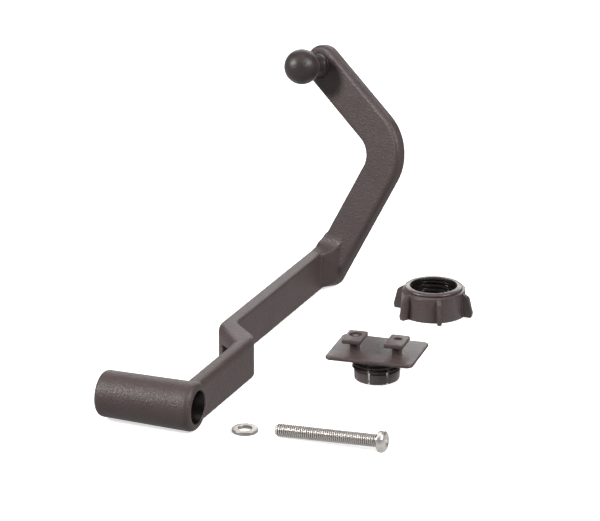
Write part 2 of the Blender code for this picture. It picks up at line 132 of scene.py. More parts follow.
# Collar nut, and its grip fins: where a pair is given, it is (radius, height).
NUT_HEIGHT = 14.1
NUT_FOOT_R = 16.1
NUT_LEDGE_R = 14.75
NUT_GROOVE_R = 13.4
NUT_RIM_R = 14.1
NUT_LIP_R = 11.45
NUT_BALL_HOLE_R = 9.1
NUT_THREAD_R = 10.8
NUT_THREAD_DEPTH = 0.85
NUT_THREAD_PITCH = 2.2
NUT_THREAD_LOW = 3.6
NUT_THREAD_HIGH = NUT_HEIGHT - 1.0
NUT_FINS = 6
NUT_FIN_FIRST = radians(-60.0)
NUT_FIN_ROOT_R = 12.8
NUT_FIN_R = 20.4
NUT_FIN_SHOULDER = (18.4, 10.1)
NUT_FIN_TOP = (15.2, 12.0)
NUT_FIN_THICK = 2.0
NUT_FIN_EDGE = 0.35
NUT_PAD_WIDTH = 4.8

# Adapter.
ADAPTER_TURN = radians(5.9)
COLLET_R = 10.8
COLLET_HEIGHT = 12.1
COLLET_ROOT_R = 10.3
COLLET_THREAD_R = 11.7
COLLET_THREAD_PITCH = 2.0
COLLET_THREAD_LOW = 5.2
COLLET_SLOTS = 7
COLLET_SLOT_FIRST = radians(-97.0)
COLLET_SLOT_WIDTH = 1.2
COLLET_SLOT_TOP = 11.2
SOCKET_R = 8.8
SOCKET_CENTRE_Z = 4.4
SOCKET_MOUTH_R = 8.2
PLATE_SIZE = (42.3, 32.7)
PLATE_THICK = 1.8
PLATE_CORNER = 3.0
PLATE_EDGE = 0.85
TAB_SIZE = (9.2, 14.4)
TAB_THICK = 2.0
TAB_POST = (4.2, 4.4)
TAB_TOP_Z = 20.8
TAB_PITCH = 20.4
TAB_SHIFT_Y = -2.4
TAB_RECESS_DEPTH = 1.2
TAB_RECESS_SHIFT_Y = 1.6
TAB_RECESSES = ((-1, 2.9, 1.3), (1, 1.9, 0.0))  # Side, radius, and radius of a pin left in the middle.

# Hardware.
WASHER_R = 6.0
WASHER_HOLE_R = 3.2
WASHER_THICK = 1.6
WASHER_EDGE = 0.25
BOLT_R = 3.06
BOLT_ROOT_R = 2.5
BOLT_LENGTH = 50.0
BOLT_PITCH = 1.0
BOLT_THREAD_LOW = 0.8
BOLT_THREAD_HIGH = BOLT_LENGTH - 0.7
HEAD_R = 5.25
HEAD_FLAT_R = 3.0
HEAD_HEIGHT = 3.3
HEX_FLATS = 4.0
HEX_DEPTH = 2.0

# Stage, in metres: surroundings, table, backdrop, and area lights as (name, place, size, watts).
WORLD_BELOW, WORLD_ABOVE = 0.55, 0.02
TABLE_SIZE = 4.0
TABLE_GLOW = 0.65
BACKDROP_R, BACKDROP_HEIGHT = 3.8, 3.0
BACKDROP_GLOW = 0.98
LIGHT_TARGET = Vector((0, 0, 0.03))
SOFT_LIGHTS = (
    ("key_left", (-1.25, -0.98, 1.0), (0.4, 0.4), 33.0),
    ("side_right", (1.42, -0.28, 1.24), (0.7, 0.7), 31.0),
    ("overhead", (-0.1, -0.1, 1.9), (1.8, 1.8), 10.0),
    ("behind", (-0.8, 2.8, 1.2), (2.4, 1.4), 30.0),
)

CAMERA_TURN = radians(22.8)
CAMERA_RISE = radians(19.8)
CAMERA_AIM = Vector((32.1, 41.9, 72.6))
CAMERA_DISTANCE = 1810.0
CAMERA_LENS = 240.0


# ---------------------------------------------------------------- shapes


def rounded(corners, steps=10):
    """A closed 2-D outline from (x, y, radius) corners, each rounded corner as an arc."""
    points = []
    count = len(corners)
    for index, (x, y, radius) in enumerate(corners):
        here = Vector((x, y))
        if radius <= 0:
            points.append(here)
            continue
        before = (Vector(corners[index - 1][:2]) - here).normalized()
        after = (Vector(corners[(index + 1) % count][:2]) - here).normalized()
        half = before.angle(after) / 2
        centre = here + (before + after).normalized() * (radius / sin(half))
        start = here + before * (radius / tan(half)) - centre
        end = here + after * (radius / tan(half)) - centre
        sweep = atan2(start.x * end.y - start.y * end.x, start.dot(end))
        first = atan2(start.y, start.x)
        for step in range(steps + 1):
            angle = first + sweep * step / steps
            points.append(centre + Vector((cos(angle), sin(angle))) * radius)
    return points


def arc(centre, radius, start, end, steps):
    """Points (radius, z) of an arc from start to end degrees, for a turned profile."""
    angles = (radians(start + (end - start) * step / steps) for step in range(steps + 1))
    return [(centre[0] + radius * cos(a), centre[1] + radius * sin(a)) for a in angles]


def new_object(name, built, place, smooth_angle=35):
    bmesh.ops.remove_doubles(built, verts=built.verts, dist=1e-5)
    bmesh.ops.recalc_face_normals(built, faces=built.faces)
    built.transform(Matrix.Diagonal((MM, MM, MM, 1.0)) @ KIT @ place)
    mesh = bpy.data.meshes.new(name)
    built.to_mesh(mesh)
    built.free()
    obj = bpy.data.objects.new(name, mesh)
    bpy.context.scene.collection.objects.link(obj)
    mesh.shade_smooth()
    mesh.set_sharp_from_angle(angle=radians(smooth_angle))
    return obj


def extrude(built, outline, low, high, place=Matrix.Identity(4)):
    """Adds an outline in XY, extruded from low to high along Z, to a bmesh."""
    bottom = [built.verts.new(place @ Vector((point.x, point.y, low))) for point in outline]
    top = [built.verts.new(place @ Vector((point.x, point.y, high))) for point in outline]
    built.faces.new(bottom[::-1])
    built.faces.new(top)
    for index in range(len(outline)):
        after = (index + 1) % len(outline)
        built.faces.new((bottom[index], bottom[after], top[after], top[index]))


def prism(name, outline, low, high, place=Matrix.Identity(4)):
    built = bmesh.new()
    extrude(built, outline, low, high)
    return new_object(name, built, place)


def spin(built, profile, steps, twist=None):
    """Adds a closed (radius, z) profile turned about Z. twist(radius, z, angle) may change each radius."""
    rings = []
    for radius, height in profile:
        if radius < 1e-6:
            rings.append([built.verts.new((0.0, 0.0, height))])
            continue
        ring = []
        for step in range(steps):
            angle = 2 * pi * step / steps
            reach = twist(radius, height, angle) if twist else radius
            ring.append(built.verts.new((reach * cos(angle), reach * sin(angle), height)))
        rings.append(ring)
    for index, ring in enumerate(rings):
        other = rings[(index + 1) % len(rings)]
        if len(ring) == 1 and len(other) == 1:
            continue
        for step in range(steps):
            after = (step + 1) % steps
            corners = [ring[step % len(ring)], ring[after % len(ring)]]
            corners += [other[after % len(other)], other[step % len(other)]]
            built.faces.new(list(dict.fromkeys(corners)))


def turned(name, profile, place=Matrix.Identity(4), steps=96, twist=None, smooth_angle=35):
    built = bmesh.new()
    spin(built, profile, steps, twist)
    return new_object(name, built, place, smooth_angle)


def helix(pitch, depth, low, high, fade, share):
    """Radius change for a helical thread between low and high, fading in and out over fade.

    share is how much of the pitch each crest and its two flanks take up.
    """

    def change(radius, height, angle):
        if not low <= height <= high:
            return radius
        phase = (height / pitch - angle / (2 * pi)) % 1.0
        crest = min(1.0, max(0.0, (1 - abs(2 * phase - 1)) / share - (1 / share - 1) / 2))
        ends = min(1.0, (height - low) / fade, (high - height) / fade)
        return radius + depth * crest * max(0.0, ends)

    return change


def bevel(obj, width, segments=4, angle=35):
    edge = obj.modifiers.new("edge_round", "BEVEL")
    edge.width = width * MM
    edge.segments = segments
    edge.limit_method = "ANGLE"
    edge.angle_limit = radians(angle)
    edge.use_clamp_overlap = False


def combine(obj, others, operation):
    """Applies one Boolean after another, and removes the other objects."""
    for other in others:
        step = obj.modifiers.new(operation.lower(), "BOOLEAN")
        step.operation = operation
        step.object = other
        step.solver = "EXACT"
    settle(obj)
    for other in others:
        bpy.data.objects.remove(other, do_unlink=True)


def settle(obj):
    """Makes the modified mesh the object's own."""
    graph = bpy.context.evaluated_depsgraph_get()
    graph.update()
    mesh = bpy.data.meshes.new_from_object(obj.evaluated_get(graph))
    obj.modifiers.clear()
    obj.data = mesh


def sharpen(obj, angle):
    obj.data.shade_smooth()
    obj.data.set_sharp_from_angle(angle=radians(angle))


def edge_cutter(name, start, inward, length, radius):
    """Rounds a top edge that runs from start for length, with inward pointing into the piece."""
    along = inward.cross(Vector((0, 0, 1)))
    frame = Matrix((inward, Vector((0, 0, 1)), along)).transposed().to_4x4()
    frame.translation = start
    outline = [Vector((-2.0, 2.0)), Vector((-2.0, -radius))]
    for step in range(13):
        angle = pi - pi / 2 * step / 12
        outline.append(Vector((radius + radius * cos(angle), -radius + radius * sin(angle))))
    outline.append(Vector((radius, 2.0)))
    return prism(name, outline[::-1], 0.0, length, frame)


# ---------------------------------------------------------------- arm


def upper_frame():
    """The flat upper arm's own frame: x across, y up its face, z out of its front face."""
    across = Vector((cos(UPPER_TURN), -sin(UPPER_TURN), 0.0))
    out = Vector((-sin(UPPER_TURN) * cos(UPPER_LEAN), -cos(UPPER_TURN) * cos(UPPER_LEAN), sin(UPPER_LEAN)))
    frame = Matrix((across, out.cross(across), out)).transposed().to_4x4()
    frame.translation = Vector((NEAR_RUN_X - JOG_SHIFT, KNEE_Y, UPPER_FOOT_Z))
    return frame


def stud_centre():
    return ELBOW + Vector((-cos(TOP_FALL), sin(TOP_FALL))) * TOP_LENGTH


def crossing(point, direction, other, other_direction):
    """Where two lines in the plane meet."""
    span = direction.x * other_direction.y - direction.y * other_direction.x
    away = other - point
    return point + direction * ((away.x * other_direction.y - away.y * other_direction.x) / span)


def upper_outline():
    """The upper arm's face outline: heel, leaning lower part, elbow, and the top part with a round end."""
    rise = Vector((cos(LOWER_RISE), sin(LOWER_RISE)))
    fall = Vector((-cos(TOP_FALL), sin(TOP_FALL)))
    beside_rise = Vector((rise.y, -rise.x)) * LOWER_WIDTH / 2
    beside_fall = Vector((fall.y, -fall.x)) * TOP_WIDTH / 2
    outer = crossing(ELBOW + beside_rise, rise, ELBOW + beside_fall, fall)
    inner = crossing(ELBOW - beside_rise, rise, ELBOW - beside_fall, fall)
    level, plumb = Vector((1.0, 0.0)), Vector((0.0, 1.0))
    bar_left = Vector((-BAR_THICK / cos(UPPER_TURN), 0.0))
    heel = crossing(outer, rise, bar_left, level)
    hip = crossing(inner, rise, bar_left, plumb)
    end = stud_centre()
    head = [(*bar_left, 0.0), (*heel, HEEL_R), (*outer, ELBOW_OUTER_R), (*(end + beside_fall), 0.0)]
    outline = rounded(head, 24)
    first = atan2(beside_fall.y, beside_fall.x)
    steps = 36
    for step in range(1, steps):
        angle = first + pi * step / steps
        outline.append(end + Vector((cos(angle), sin(angle))) * TOP_WIDTH / 2)
    tail = [(*(end - beside_fall), 0.0), (*inner, ELBOW_INNER_R), (*hip, HIP_R), (*bar_left, 0.0)]
    return outline + rounded(tail, 14)[:-1]


def bar_outline():
    """The bar in plan: near run, oblique jog, far run."""
    near_out, near_in = NEAR_RUN_X, NEAR_RUN_X - BAR_THICK
    far_out, far_in = near_out - JOG_SHIFT, near_in - JOG_SHIFT
    corners = [
        (near_in, 0.0, 0.0),
        (near_out, 0.0, 0.0),
        (near_out, JOG_OUTSIDE_Y[0], JOG_OUTSIDE_R[0]),
        (far_out, JOG_OUTSIDE_Y[1], JOG_OUTSIDE_R[1]),
        (far_out, KNEE_Y + 6.0, 0.0),
        (far_in, KNEE_Y + 6.0, 0.0),
        (far_in, JOG_INSIDE_Y[1], JOG_INSIDE_R[1]),
        (near_in, JOG_INSIDE_Y[0], JOG_INSIDE_R[0]),
    ]
    return rounded(corners)


def jog_face():
    """Frame of the jog's near face: x along it from its far corner, y into the bar, z up."""
    corner = Vector((NEAR_RUN_X - BAR_THICK - JOG_SHIFT, JOG_INSIDE_Y[1], 0.0))
    slope = atan2(JOG_INSIDE_Y[1] - JOG_INSIDE_Y[0], JOG_SHIFT)
    return Matrix.Translation(corner) @ Matrix.Rotation(-slope, 4, "Z")


def knee_flare():
    """The bar's end widening into the upper arm: a fillet above it and a facet on its outside, mitred."""
    wedge_top, wedge_side = (pi / 2 + UPPER_LEAN) / 2, (pi / 2 - UPPER_TURN) / 2
    top_reach, side_reach = KNEE_TOP_R / tan(wedge_top), KNEE_SIDE_R / tan(wedge_side)
    corner_y = BAR_HEIGHT / cos(UPPER_LEAN)
    bar_left = -BAR_THICK / cos(UPPER_TURN)
    steps = 24
    built = bmesh.new()
    rings = []
    for step in range(-1, steps + 1):
        out = max(step, 0) / steps * side_reach * cos(UPPER_TURN)
        right = side_reach - out * (side_reach - KNEE_FACET_FOOT) / (side_reach * cos(UPPER_TURN))
        top = corner_y + top_reach - (KNEE_TOP_R**2 - (KNEE_TOP_R - out) ** 2) ** 0.5
        left = bar_left + out * tan(UPPER_TURN) + 0.1
        out = out if step >= 0 else -3.0
        corners = ((left, -2.0), (right, -2.0), (right, top), (left, top))
        rings.append([built.verts.new((x, y, out)) for x, y in corners])
    for ring, other in zip(rings, rings[1:]):
        for index in range(4):
            after = (index + 1) % 4
            built.faces.new((ring[index], ring[after], other[after], other[index]))
    built.faces.new(rings[0][::-1])
    built.faces.new(rings[-1])
    flare = new_object("knee_flare", built, upper_frame())
    combine(flare, [prism("flare_limit", upper_outline(), -4.0, 12.0, upper_frame())], "INTERSECT")
    return flare


def sleeve_place():
    return Matrix.Translation((0, 0, SLEEVE_R_MOUTH)) @ Matrix.Rotation(pi / 2, 4, "Y")


def sleeve_solid():
    """The clamp sleeve before it is bored: a slight taper with rounded ends."""
    end, mouth = SLEEVE_END_EDGE, SLEEVE_MOUTH_EDGE
    profile = [(0.0, -SLEEVE_LENGTH)]
    profile += arc((SLEEVE_R_END - end, -SLEEVE_LENGTH + end), end, -90, 0, 10)
    profile += arc((SLEEVE_R_MOUTH - mouth, -mouth), mouth, 0, 90, 12)
    return turned("sleeve", profile + [(0.0, 0.0)], sleeve_place(), 128)


def arm_blank():
    """Everything moulded in one, fused and softened, before its bores are cut."""
    arm = prism("arm", bar_outline(), 0.0, BAR_HEIGHT)
    bevel(arm, BAR_EDGE)
    upper = prism("upper", upper_outline(), -UPPER_THICK, 0.0, upper_frame())
    bevel(upper, UPPER_EDGE, 5)
    combine(arm, [upper, knee_flare(), sleeve_solid()], "UNION")

    run_edge = Vector((NEAR_RUN_X, JOG_OUTSIDE_Y[0] - 3.0, BAR_HEIGHT))
    run_length = JOG_OUTSIDE_Y[0] - 3.0 - SLEEVE_R_MOUTH
    run_start = run_edge - Vector((0, run_length, 0))
    run = edge_cutter("near_run_edge", run_start, Vector((-1, 0, 0)), run_length, NEAR_RUN_EDGE)
    face = jog_face()
    inward = (face.to_3x3() @ Vector((0, 1, 0))).normalized()
    face_length = hypot(JOG_SHIFT, JOG_INSIDE_Y[1] - JOG_INSIDE_Y[0])
    start = face @ Vector((-3.0, 0.0, BAR_HEIGHT))
    jog = edge_cutter("jog_edge", start, inward, face_length + 1.5, JOG_TOP_EDGE)
    start, end = POCKET_SPAN
    opening = [(start + POCKET_SLANT, POCKET_FOOT), (end, POCKET_FOOT)]
    opening += [(end, POCKET_TOP[1]), (start, POCKET_TOP[0])]
    opening = [Vector(corner) for corner in opening]
    pocket = prism("pocket", opening, -POCKET_DEPTH, 3.0, face @ Matrix.Rotation(pi / 2, 4, "X"))
    table = prism("table", rounded([(-90, -70, 0), (90, -70, 0), (90, 270, 0), (-90, 270, 0)]), -30.0, 0.0)
    combine(arm, [run, jog, pocket, table], "DIFFERENCE")
    return arm


def make_arm():
    """The moulding with its counterbore and screw hole through the sleeve and the seat for the ball stud."""
    arm = arm_blank()
    remesh = arm.modifiers.new("fuse", "REMESH")
    remesh.mode = "VOXEL"
    voxel, passes = ARM_FUSE
    remesh.voxel_size = voxel * MM
    soften = arm.modifiers.new("soften", "SMOOTH")
    soften.factor = 0.5
    soften.iterations = passes
    settle(arm)
    for vertex in arm.data.vertices:
        vertex.co.z = max(vertex.co.z, 0.0)

    lip = 0.5
    bore = [(0.0, -COUNTERBORE_DEPTH), (COUNTERBORE_R, -COUNTERBORE_DEPTH), (COUNTERBORE_R, -lip)]
    bore += [(COUNTERBORE_R + lip, 0.0), (COUNTERBORE_R + lip, 5.0), (0.0, 5.0)]
    hole = [(0.0, 5.0 - COUNTERBORE_DEPTH), (BOLT_HOLE_R, 5.0 - COUNTERBORE_DEPTH)]
    hole += [(BOLT_HOLE_R, -SLEEVE_LENGTH - 5.0), (0.0, -SLEEVE_LENGTH - 5.0)]
    depth = -STUD_SHANK_LENGTH - STUD_FLANGE_SEAT - FIT_GAP
    shank_r, flange_r, floor_z = STUD_SHANK_R + FIT_GAP, STUD_FLANGE_R + FIT_GAP, -STUD_FLANGE_SEAT - FIT_GAP
    seat = [(0.0, depth), (shank_r, depth), (shank_r, floor_z)]
    seat += [(flange_r, floor_z), (flange_r, 3.0), (0.0, 3.0)]
    cutters = [
        turned("bore", bore, sleeve_place(), 128),
        turned("hole", hole, sleeve_place(), 64),
        turned("seat", seat, stud_place(), 96),
    ]
    combine(arm, cutters, "DIFFERENCE")
    sharpen(arm, 50)
    return arm


def stud_place():
    centre = stud_centre()
    return upper_frame() @ Matrix.Translation((centre.x, centre.y, 0.0))


def make_ball_stud():
    """Shank and flange in the arm's seat, then the neck, then the ball."""
    base = -STUD_SHANK_LENGTH - STUD_FLANGE_SEAT
    edge, fillet = 0.35, 1.0
    profile = [(0.0, base), (STUD_SHANK_R - 0.4, base), (STUD_SHANK_R, base + 0.4)]
    profile += [(STUD_SHANK_R, -STUD_FLANGE_SEAT), (STUD_FLANGE_R, -STUD_FLANGE_SEAT)]
    profile += arc((STUD_FLANGE_R - edge, edge), edge, 0, 90, 5)
    profile += arc((STUD_NECK_R + fillet, 2 * edge + fillet), fillet, 270, 180, 8)
    join = atan2(STUD_NECK_R + 0.1, (BALL_R**2 - STUD_NECK_R**2) ** 0.5)
    profile += [(BALL_R * sin(pi - join), BALL_REACH - BALL_R * cos(join))]
    steps = 48
    for step in range(1, steps + 1):
        angle = (pi - join) * (1 - step / steps)
        profile.append((BALL_R * sin(angle) if step < steps else 0.0, BALL_REACH + BALL_R * cos(angle)))
    return turned("ball_stud_smooth", profile, stud_place(), 96, None, 50)


# ---------------------------------------------------------------- collar nut


def nut_section():
    """The ring's section: foot, panelled side, ledge, groove under the rolled rim, and threaded bore."""
    top = NUT_HEIGHT
    foot, ledge, rim, lip = 0.2, 0.5, 0.55, 0.35
    section = arc((NUT_FOOT_R - foot, foot), foot, -90, 0, 3) + [(NUT_LEDGE_R, top - 2.6)]
    section += arc((NUT_LEDGE_R - ledge, top - 2.0), ledge, 0, 80, 4)
    section += [(NUT_GROOVE_R, top - 1.6), (NUT_GROOVE_R, top - 1.4)]
    section += arc((NUT_RIM_R - rim, top - 0.9), rim, -70, 60, 8) + [(12.2, top - 0.03)]
    section += arc((NUT_LIP_R + lip, top - lip), lip, 85, 180, 5)
    rows = 76
    reach = NUT_THREAD_HIGH - NUT_THREAD_LOW
    section += [(NUT_THREAD_R, NUT_THREAD_LOW + reach * row / rows) for row in range(rows, -1, -1)]
    section += [(NUT_THREAD_R, NUT_THREAD_LOW - 0.2), (NUT_BALL_HOLE_R, 0.8), (NUT_BALL_HOLE_R, 0.0)]
    return section


def add_fin(built, turn):
    """Adds one grip fin with rounded rims, and the flat pad that it stands on, to the nut's bmesh."""
    stand = turn @ Matrix.Rotation(pi / 2, 4, "X")
    foot, neck = NUT_FOOT_R + 0.35, NUT_LEDGE_R + 0.4
    pad = ((NUT_FIN_ROOT_R, 0.4), (foot, 0.4), (neck, NUT_HEIGHT - 2.7), (NUT_FIN_ROOT_R, NUT_HEIGHT - 2.3))
    extrude(built, [Vector(corner) for corner in pad], -NUT_PAD_WIDTH / 2, NUT_PAD_WIDTH / 2, stand)
    outline = [(12.6, 0.1, 0.0), (NUT_FIN_R - 0.4, 0.1, 0.6), (NUT_FIN_R, 2.2, 1.4)]
    outline += [(*NUT_FIN_SHOULDER, 1.8), (*NUT_FIN_TOP, 0.8), (13.2, NUT_FIN_TOP[1], 0.0)]
    fin = bmesh.new()
    extrude(fin, rounded(outline, 5), -NUT_FIN_THICK / 2, NUT_FIN_THICK / 2, stand)
    rims = [edge for edge in fin.edges if edge.calc_face_angle(0) > radians(60)]
    bmesh.ops.bevel(fin, geom=rims, offset=NUT_FIN_EDGE, segments=3, affect="EDGES", profile=0.5)
    scrap = bpy.data.meshes.new("fin")
    fin.to_mesh(scrap)
    fin.free()
    built.from_mesh(scrap)


def make_collar_nut(place):
    """A ring with a helical thread inside and equally spaced grip fins outside."""
    cut = helix(NUT_THREAD_PITCH, NUT_THREAD_DEPTH, NUT_THREAD_LOW, NUT_THREAD_HIGH, 0.4, 0.6)
    built = bmesh.new()
    spin(built, nut_section(), 160, cut)
    for index in range(NUT_FINS):
        add_fin(built, Matrix.Rotation(NUT_FIN_FIRST + 2 * pi * index / NUT_FINS, 4, "Z"))
    return new_object("collar_nut_smooth", built, place)


# ---------------------------------------------------------------- adapter


def make_collet(place):
    """Smooth skirt, helical thread above it, ball socket inside, and slots that split it into fingers."""
    top, edge = COLLET_HEIGHT, 0.7
    rows = 56
    section = arc((COLLET_R - 0.9, edge), edge, -90, 0, 5) + [(COLLET_R, 4.4), (COLLET_R, 5.0)]
    reach = top - COLLET_THREAD_LOW
    section += [(COLLET_ROOT_R, COLLET_THREAD_LOW + reach * row / rows) for row in range(rows + 1)]
    flat = top - 1.6
    section += [(0.0, top), (0.0, flat)]
    steps = 20
    mouth = atan2(SOCKET_MOUTH_R, -SOCKET_CENTRE_Z)
    for step in range(1, steps + 1):
        angle = mouth * step / steps
        reach = hypot(SOCKET_MOUTH_R, SOCKET_CENTRE_Z) if step == steps else SOCKET_R
        section.append((reach * sin(angle), min(flat, SOCKET_CENTRE_Z + reach * cos(angle))))
    cut = helix(COLLET_THREAD_PITCH, COLLET_THREAD_R - COLLET_ROOT_R, COLLET_THREAD_LOW, top, 0.3, 0.75)
    thread = turned("collet_smooth", section, place, 140, cut)
    y = COLLET_SLOT_WIDTH / 2
    outline = rounded([(5.0, -y, 0), (14.0, -y, 0), (14.0, y, 0), (5.0, y, 0)])
    slots = []
    for index in range(COLLET_SLOTS):
        turn = Matrix.Rotation(COLLET_SLOT_FIRST + 2 * pi * index / COLLET_SLOTS, 4, "Z")
        slots.append(prism("slot", outline, -2.0, COLLET_SLOT_TOP, place @ turn))
    combine(thread, slots, "DIFFERENCE")
    sharpen(thread, 35)
    return thread


def make_tab_plate(place):
    """Rounded plate with two T tabs: a post under a flat head, with a round recess in each head."""
    low = COLLET_HEIGHT + FIT_GAP
    half_x, half_y = PLATE_SIZE[0] / 2, PLATE_SIZE[1] / 2
    corners = [(-half_x, -half_y), (half_x, -half_y), (half_x, half_y), (-half_x, half_y)]
    outline = rounded([(x, y, PLATE_CORNER) for x, y in corners])
    plate = prism("tab_plate_smooth", outline, low, low + PLATE_THICK, place)
    bevel(plate, PLATE_EDGE)
    added, cut = [], []
    for side, recess_r, pin_r in TAB_RECESSES:
        at = place @ Matrix.Translation((side * TAB_PITCH / 2, TAB_SHIFT_Y, 0.0))
        x, y = TAB_POST[0] / 2, TAB_POST[1] / 2
        post = rounded([(-x, -y, 0.8), (x, -y, 0.8), (x, y, 0.8), (-x, y, 0.8)], 5)
        added.append(prism("post", post, low + 1.0, TAB_TOP_Z - 1.0, at))
        x, y = TAB_SIZE[0] / 2, TAB_SIZE[1] / 2
        head = rounded([(-x, -y, 1.0), (x, -y, 1.0), (x, y, 1.0), (-x, y, 1.0)], 5)
        head = prism("head", head, TAB_TOP_Z - TAB_THICK, TAB_TOP_Z, at)
        bevel(head, 0.5, 3)
        added.append(head)
        floor_z = TAB_TOP_Z - TAB_RECESS_DEPTH
        lip_r = recess_r + 0.3
        well = [(pin_r, floor_z), (recess_r - 0.2, floor_z), (recess_r, floor_z + 0.2)]
        well += [(recess_r, TAB_TOP_Z - 0.2), (lip_r, TAB_TOP_Z + 0.1)]
        well += [(lip_r, TAB_TOP_Z + 2.0), (0.0, TAB_TOP_Z + 2.0)]
        well += [(0.0, TAB_TOP_Z - 0.5), (pin_r, TAB_TOP_Z - 0.5)] if pin_r else []
        cut.append(turned("well", well, at @ Matrix.Translation((0, TAB_RECESS_SHIFT_Y, 0)), 64))
    combine(plate, added, "UNION")
    combine(plate, cut, "DIFFERENCE")
    sharpen(plate, 35)
    return plate


# ---------------------------------------------------------------- hardware


def make_washer(place):
    edge = WASHER_EDGE
    profile = arc((WASHER_R - edge, edge), edge, -90, 0, 4)
    profile += arc((WASHER_R - edge, WASHER_THICK - edge), edge, 0, 90, 4)
    profile += arc((WASHER_HOLE_R + edge, WASHER_THICK - edge), edge, 90, 180, 4)
    profile += arc((WASHER_HOLE_R + edge, edge), edge, 180, 270, 4)
    return turned("washer_smooth", profile, place, 128)


def make_bolt(place):
    """Helical thread from a chamfered tip to under the head, domed head, hex socket in it."""
    rows = 12 * int(BOLT_LENGTH / BOLT_PITCH)
    profile = [(0.0, 0.0), (BOLT_ROOT_R - 0.3, 0.0), (BOLT_ROOT_R, 0.35)]
    reach = BOLT_THREAD_HIGH - BOLT_THREAD_LOW
    profile += [(BOLT_ROOT_R, BOLT_THREAD_LOW + reach * row / rows) for row in range(rows + 1)]
    profile += [(BOLT_ROOT_R + 0.3, BOLT_LENGTH - 0.4), (BOLT_ROOT_R + 0.3, BOLT_LENGTH)]
    profile += arc((HEAD_R - 0.25, BOLT_LENGTH + 0.25), 0.25, -90, 0, 4)
    steps = 16
    for step in range(1, steps + 1):
        angle = pi / 2 * step / steps
        radius = HEAD_FLAT_R + (HEAD_R - HEAD_FLAT_R) * cos(angle)
        profile.append((radius, BOLT_LENGTH + 0.5 + (HEAD_HEIGHT - 0.5) * sin(angle)))
    profile.append((0.0, BOLT_LENGTH + HEAD_HEIGHT))
    cut = helix(BOLT_PITCH, BOLT_R - BOLT_ROOT_R, BOLT_THREAD_LOW, BOLT_THREAD_HIGH, 0.3, 0.6)
    bolt = turned("bolt_smooth", profile, place, 64, cut, 40)
    corner = HEX_FLATS / 2 / cos(pi / 6)
    hexagon = [Vector((cos(pi / 3 * k), sin(pi / 3 * k))) * corner for k in range(6)]
    low = BOLT_LENGTH + HEAD_HEIGHT - HEX_DEPTH
    top = low + HEX_DEPTH
    chamfer = [(0.0, top - 0.25), (corner - 0.25, top - 0.25), (corner + 0.2, top + 0.2), (0.0, top + 0.2)]
    socket = prism("hex", hexagon, low, top + 2, place)
    combine(bolt, [socket, turned("countersink", chamfer, place, 64)], "DIFFERENCE")
    sharpen(bolt, 30)
    return bolt


# ---------------------------------------------------------------- materials


class Shader:
    """A Principled material with short helpers for its node tree."""

    def __init__(self, name):
        self.material = bpy.data.materials.new(name)
        self.material.use_nodes = True
        self.tree = self.material.node_tree
        self.main = self.tree.nodes["Principled BSDF"]
        self.where = self.add("ShaderNodeTexCoord").outputs["Object"]

    def add(self, kind, **inputs):
        node = self.tree.nodes.new(kind)
        for name, value in inputs.items():
            node.inputs[name.replace("_", " ")].default_value = value
        return node

    def link(self, out, into):
        self.tree.links.new(out, into)

    def noise(self, scale, detail=3.0, roughness=0.5, stretch=None):
        node = self.add("ShaderNodeTexNoise", Scale=scale, Detail=detail, Roughness=roughness)
        where = self.where
        if stretch:
            spread = self.add("ShaderNodeMapping", Scale=stretch)
            self.link(where, spread.inputs["Vector"])
            where = spread.outputs["Vector"]
        self.link(where, node.inputs["Vector"])
        return node.outputs["Fac"]

    def ramp(self, value, low, high, start=0.0, end=1.0):
        """Maps a 0..1 value to a colour or grey between low and high."""
        node = self.add("ShaderNodeValToRGB")
        for stop, colour, place in zip(node.color_ramp.elements, (low, high), (start, end)):
            stop.position = place
            stop.color = (*colour, 1.0) if isinstance(colour, tuple) else (colour, colour, colour, 1.0)
        self.link(value, node.inputs["Fac"])
        return node.outputs["Color"]

    def tint(self, value, low, high):
        """Varies the base colour between low and high."""
        self.link(self.ramp(value, low, high, 0.3, 0.7), self.main.inputs["Base Color"])

    def roughen(self, value, low, high, start=0.3, end=0.7):
        """Varies the roughness between low and high."""
        self.link(self.ramp(value, low, high, start, end), self.main.inputs["Roughness"])

    def set(self, **inputs):
        for name, value in inputs.items():
            self.main.inputs[name.replace("_", " ")].default_value = value

    def bumps(self, layers):
        """Stacks (height, strength, distance in mm) bumps into the shader's normal."""
        normal = None
        for height, strength, distance in layers:
            node = self.add("ShaderNodeBump", Strength=strength, Distance=distance * MM)
            self.link(height, node.inputs["Height"])
            if normal:
                self.link(normal, node.inputs["Normal"])
            normal = node.outputs["Normal"]
        self.link(normal, self.main.inputs["Normal"])


def grained_plastic():
    """Dark brown-grey moulded plastic with a fine spark-eroded grain."""
    made = Shader("grained_plastic")
    made.tint(made.noise(60.0, 4.0, 0.6), (0.060, 0.042, 0.040), (0.075, 0.053, 0.051))
    grain = made.noise(1700.0, 2.0, 0.55)
    made.roughen(grain, 0.38, 0.54)
    made.bumps([(made.noise(1050.0, 2.0, 0.6), 1.0, 0.26), (grain, 0.9, 0.14)])
    return made.material


def ball_plastic():
    """The arm's plastic on the turned ball stud: darker, with a finer and glossier skin. The darker base is
    partly painted shade, for the shade round the neck.
    """
    made = Shader("ball_plastic")
    made.tint(made.noise(60.0, 4.0, 0.6), (0.028, 0.019, 0.018), (0.040, 0.028, 0.027))
    grain = made.noise(1500.0, 2.0, 0.55)
    made.roughen(grain, 0.36, 0.50)
    made.set(Sheen_Weight=0.30, Sheen_Roughness=0.35)
    made.bumps([(made.noise(1050.0, 2.0, 0.6), 0.6, 0.16), (grain, 0.8, 0.10)])
    return made.material


